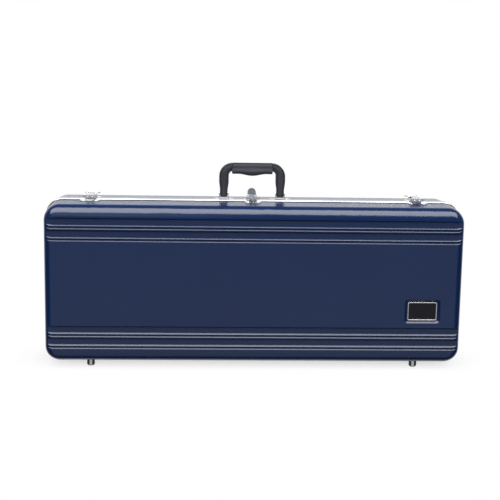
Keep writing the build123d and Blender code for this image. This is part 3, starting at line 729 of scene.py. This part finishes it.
def strap_section(width, thick):
    """Closed section of the strap: across it from the inner to the outer edge, and through it."""
    half_w, half_t = width / 2, thick / 2
    seam = half_w - SEAM_IN - SEAM_HALF_W
    pressed = ((-1, 0.0), (0, SEAM_DEPTH), (1, 0.0))
    inner = [(-seam + step * SEAM_HALF_W, depth) for step, depth in pressed]
    outer = [(seam + step * SEAM_HALF_W, depth) for step, depth in pressed]
    face = [*inner, (0.0, -STRAP_CROWN), *outer]
    edge = strap_edge(half_w, half_t)
    front = [(a, -half_t + depth) for a, depth in face]
    back = [(a, half_t - depth) for a, depth in reversed(face)]
    return front + edge + back + [(-a, -b) for a, b in edge]


def model_strap(finishes):
    """Padded, stitched strap of the handle in place of its plain solid."""
    left, middle = strap_half()
    pairs = left + [tuple((2 * middle - x, z) for x, z in pair) for pair in reversed(left[:-1])]
    low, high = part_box("handle_strap")
    y, thick = (low.y + high.y) / 2, high.y - low.y
    form = bmesh.new()
    rings = []
    for (inner_x, inner_z), (outer_x, outer_z) in pairs:
        width = hypot(outer_x - inner_x, outer_z - inner_z)
        away_x, away_z = (outer_x - inner_x) / width, (outer_z - inner_z) / width
        centre_x, centre_z = (outer_x + inner_x) / 2, (outer_z + inner_z) / 2
        tuck = min(rounding(centre_z - low.z, FOOT_ROUND), FOOT_TUCK_MOST)
        ring = []
        for a, b in strap_section(width, thick):
            a *= 1 - 2 * tuck / width
            b *= 1 - 2 * tuck / thick
            ring.append(form.verts.new((centre_x + a * away_x, y + b, centre_z + a * away_z)))
        rings.append(ring)
    bridge(form, rings)
    mesh = mesh_of(form, "handle_strap_cover", outward=True)
    strap = add_piece("handle_strap_cover", mesh, finishes["handle_leather"], "handle",
                      STRAP_SHARP_DEG)
    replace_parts(strap, "handle_strap")
    add_stitches(pairs, y, thick)


STITCH_PITCH = 4.5 * MM
FIRST_STITCH = 1.5 * STITCH_PITCH
STITCH_SUNK = 0.35 * SEAM_DEPTH
STITCH_L = 2.9 * MM
STITCH_R = 0.75 * MM
STITCH_SIDES = 6
# Outline of a stitch: shares of its length from its middle and of its radius
STITCH_OUTLINE = ((-0.5, 0.35), (-0.3, 0.95), (0.3, 0.95), (0.5, 0.35))


def seam_line(pairs, side):
    """Path of one seam of the strap in X and Z: side is -1 near its inner edge and 1 near its outer."""
    line = []
    for (inner_x, inner_z), (outer_x, outer_z) in pairs:
        width = hypot(outer_x - inner_x, outer_z - inner_z)
        share = 0.5 + side * (0.5 - (SEAM_IN + SEAM_HALF_W) / width)
        line.append(Vector((inner_x + share * (outer_x - inner_x), inner_z + share * (outer_z - inner_z))))
    return line


def add_stitches(pairs, y, thick):
    """Stitches in the seams on both faces of the strap, as one piece."""
    grip_low, grip_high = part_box("handle_grip")
    form = bmesh.new()
    for side in (-1, 1):
        line = seam_line(pairs, side)
        travelled = 0.0
        due = FIRST_STITCH
        for start, end in zip(line, line[1:]):
            step = (end - start).length
            while due <= travelled + step:
                at = start + (end - start) * ((due - travelled) / step)
                if not grip_low.x < at.x < grip_high.x:
                    for face in (-1, 1):
                        face_y = y + face * (thick / 2 - STITCH_SUNK)
                        add_stitch(form, at, (end - start).normalized(), face_y)
                due += STITCH_PITCH
            travelled += step
    mesh = mesh_of(form, "handle_stitches", outward=True)
    add_piece("handle_stitches", mesh, waxed_thread(), "handle")


def add_stitch(form, at, along, y):
    """One stitch: a short bead of thread, pinched at both ends."""
    beside = Vector((-along.y, along.x))
    rings = []
    for share, radius in STITCH_OUTLINE:
        spine = at + along * (STITCH_L * share)
        rings.append([
            form.verts.new((spine.x + beside.x * STITCH_R * radius * across,
                            y + STITCH_R * radius * out,
                            spine.y + beside.y * STITCH_R * radius * across))
            for across, out in around(STITCH_SIDES)
        ])
    bridge(form, rings)


GRIP_ROLL = 2.6 * MM
GRIP_POINTS = 44
GRIP_STATIONS = 60
GRIP_SHARP_DEG = 60
# Shares of the grip's half length: where its waist starts to widen, and where its swell ends
WAIST_WIDENS_AT = 0.5
SWELL_ENDS_AT = 0.72
# Under 1, the grip's section is squarer than an ellipse
GRIP_ROUNDNESS = 0.72
# The band of painted highlight on the grip, down from its top, as shares of its waist
HIGHLIGHT_DOWN = 0.62
HIGHLIGHT_REACH = 0.34


def grip_height(share):
    """Height of the grip along its length, from -1 to 1: a swell in the middle between two waists."""
    widened = smooth_share(abs(share), WAIST_WIDENS_AT, 1.0)
    swelled = 1 - smooth_share(abs(share), 0.0, SWELL_ENDS_AT)
    waist = GRIP_WAIST_H + (GRIP_END_H - GRIP_WAIST_H) * widened
    return waist + (GRIP_MID_H - GRIP_WAIST_H) * swelled


def squarish(value):
    """A cosine or sine pushed outward, so that an ellipse becomes squarer."""
    return abs(value) ** GRIP_ROUNDNESS * (1 if value > 0 else -1)


def model_grip():
    """Moulded grip round the band, with rolled ends and a finger swell, in place of its plain solid."""
    low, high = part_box("handle_grip")
    half_l, half_t = (high.x - low.x) / 2, (high.y - low.y) / 2
    middle_x, middle_y = (high.x + low.x) / 2, (high.y + low.y) / 2
    form = bmesh.new()
    rings = []
    for station in range(GRIP_STATIONS + 1):
        share = -cos(pi * station / GRIP_STATIONS)
        half_h = grip_height(share) / 2
        roll = rounding(half_l * (1 - abs(share)), GRIP_ROLL)
        rings.append([
            form.verts.new((middle_x + half_l * share,
                            middle_y + (half_t - roll) * squarish(out),
                            high.z - half_h + (half_h - roll) * squarish(up)))
            for out, up in around(GRIP_POINTS)
        ])
    bridge(form, rings)
    # The grip's lighter band is a painted highlight on its lower part
    painted_band = (high.z - HIGHLIGHT_DOWN * GRIP_WAIST_H, HIGHLIGHT_REACH * GRIP_WAIST_H)
    finish = grained_leather("grip_leather", **GRIP_LEATHER, painted_band=painted_band)
    mesh = mesh_of(form, "handle_grip_cover", outward=True)
    grip = add_piece("handle_grip_cover", mesh, finish, "handle", GRIP_SHARP_DEG)
    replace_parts(grip, "handle_grip")


FOAM_VOXEL = 3.4 * MM
FLAP_VOXEL = 1.5 * MM
FOAM_SMOOTHING = 0.5
FOAM_WAVES = 24.0
FOAM_SINK = 0.35 * MM
LINING_CROWN = 4.0 * MM
FLAP_CROWN = 1.0 * MM
FACING_LEAST = 0.8


def foam_over(node, voxel, easing, finish, swell=None):
    """Plush-covered foam in place of a plain padding solid: eased edges and an uneven face.

    swell gives how far a point stands out, from its place and its normal.
    """
    mesh = mesh_of(joined_copy(node), f"{node}_padding")
    soft = shaped(mesh, ("REMESH", {"mode": "VOXEL", "voxel_size": voxel}),
                  ("SMOOTH", {"factor": FOAM_SMOOTHING, "iterations": easing}))
    normals = [vertex.normal.copy() for vertex in soft.vertices]
    for vertex, normal in zip(soft.vertices, normals):
        push = -FOAM_SINK * (1 - value_noise.noise(vertex.co * FOAM_WAVES))
        if swell is not None:
            push += swell(vertex.co, normal)
        vertex.co = vertex.co + normal * push
    piece = add_piece(f"{node}_padding", soft, finish, body_of_node(node))
    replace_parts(piece, node)
    return piece


def crowned(node, rise, facing, front_half=False):
    """Swelling of a pad's face, most in its middle: facing is the sign of the face's normal along Y.

    With front_half, only faces in the half of the pad nearer the front of the case swell.
    """
    low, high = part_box(node)
    middle, half = (low + high) / 2, (high - low) / 2

    def swell(point, normal):
        if normal.y * facing < FACING_LEAST or (front_half and point.y > middle.y):
            return 0.0
        across_x = (point.x - middle.x) / half.x
        across_z = (point.z - middle.z) / half.z
        return rise * max(0.0, 1 - across_x ** 4) * max(0.0, 1 - across_z ** 2)

    return swell


TAB_COLUMNS = 18
TAB_ROWS = 16
TAB_THINNER = 0.15 * MM
TAB_TRIM = 1.6 * MM
TAB_TRIM_FROM = 0.8
TAB_RIPPLE = 0.12 * MM
TAB_RIPPLE_TURN = 9.0
TAB_SHARP_DEG = 50


def tab_face(form, low, high, y):
    """Grid of the tab's points on one of its faces, with its free corners trimmed and a faint ripple."""
    grid = []
    for row in range(TAB_ROWS + 1):
        down = row / TAB_ROWS
        trim = TAB_TRIM * max(0.0, (down - TAB_TRIM_FROM) / (1 - TAB_TRIM_FROM)) ** 2
        half = (high.x - low.x) / 2 - trim
        z = high.z + (low.z - high.z) * down
        ripple = TAB_RIPPLE * sin(TAB_RIPPLE_TURN * down)
        grid.append([
            form.verts.new(((low.x + high.x) / 2 + half * (2 * column / TAB_COLUMNS - 1), y + ripple, z))
            for column in range(TAB_COLUMNS + 1)
        ])
    return grid


def model_tab(finish):
    """Pull tab of webbing that lies on the compartment's lid."""
    low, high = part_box("accessory_lid_tab")
    form = bmesh.new()
    front, back = (tab_face(form, low, high, y) for y in (low.y, high.y - TAB_THINNER))
    for r in range(TAB_ROWS):
        for c in range(TAB_COLUMNS):
            form.faces.new((front[r][c], front[r][c + 1], front[r + 1][c + 1], front[r + 1][c]))
            form.faces.new((back[r][c], back[r + 1][c], back[r + 1][c + 1], back[r][c + 1]))
    rim = [(0, c) for c in range(TAB_COLUMNS)] + [(r, TAB_COLUMNS) for r in range(TAB_ROWS)]
    rim += [(TAB_ROWS, c) for c in range(TAB_COLUMNS, 0, -1)] + [(r, 0) for r in range(TAB_ROWS, 0, -1)]
    for (r0, c0), (r1, c1) in zip(rim, rim[1:] + rim[:1]):
        form.faces.new((front[r0][c0], back[r0][c0], back[r1][c1], front[r1][c1]))
    mesh = mesh_of(form, "accessory_lid_webbing", outward=True)
    tab = add_piece("accessory_lid_webbing", mesh, finish, "accessory_lid", TAB_SHARP_DEG)
    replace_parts(tab, "accessory_lid_tab")


def model_padding(finishes):
    """Cradle, lid lining and the small compartment's lid with its tab."""
    plush = finishes["plush"]
    voxel = FOAM_VOXEL
    foam_over("base_cradle", voxel, easing=7, finish=plush)
    foam_over("lid_lining", voxel, easing=7, finish=plush,
              swell=crowned("lid_lining", LINING_CROWN, facing=1, front_half=True))
    board = foam_over("accessory_lid", FLAP_VOXEL, easing=4, finish=plush,
                      swell=crowned("accessory_lid", FLAP_CROWN, facing=-1))
    model_tab(finishes["tab_cloth"])


add_camera()
studio()
finishes = dress_nodes()
ease_hard_pieces()
add_rivets()
model_strap(finishes)
model_grip()
model_padding(finishes)

bpy.context.scene.view_settings.view_transform = "Standard"
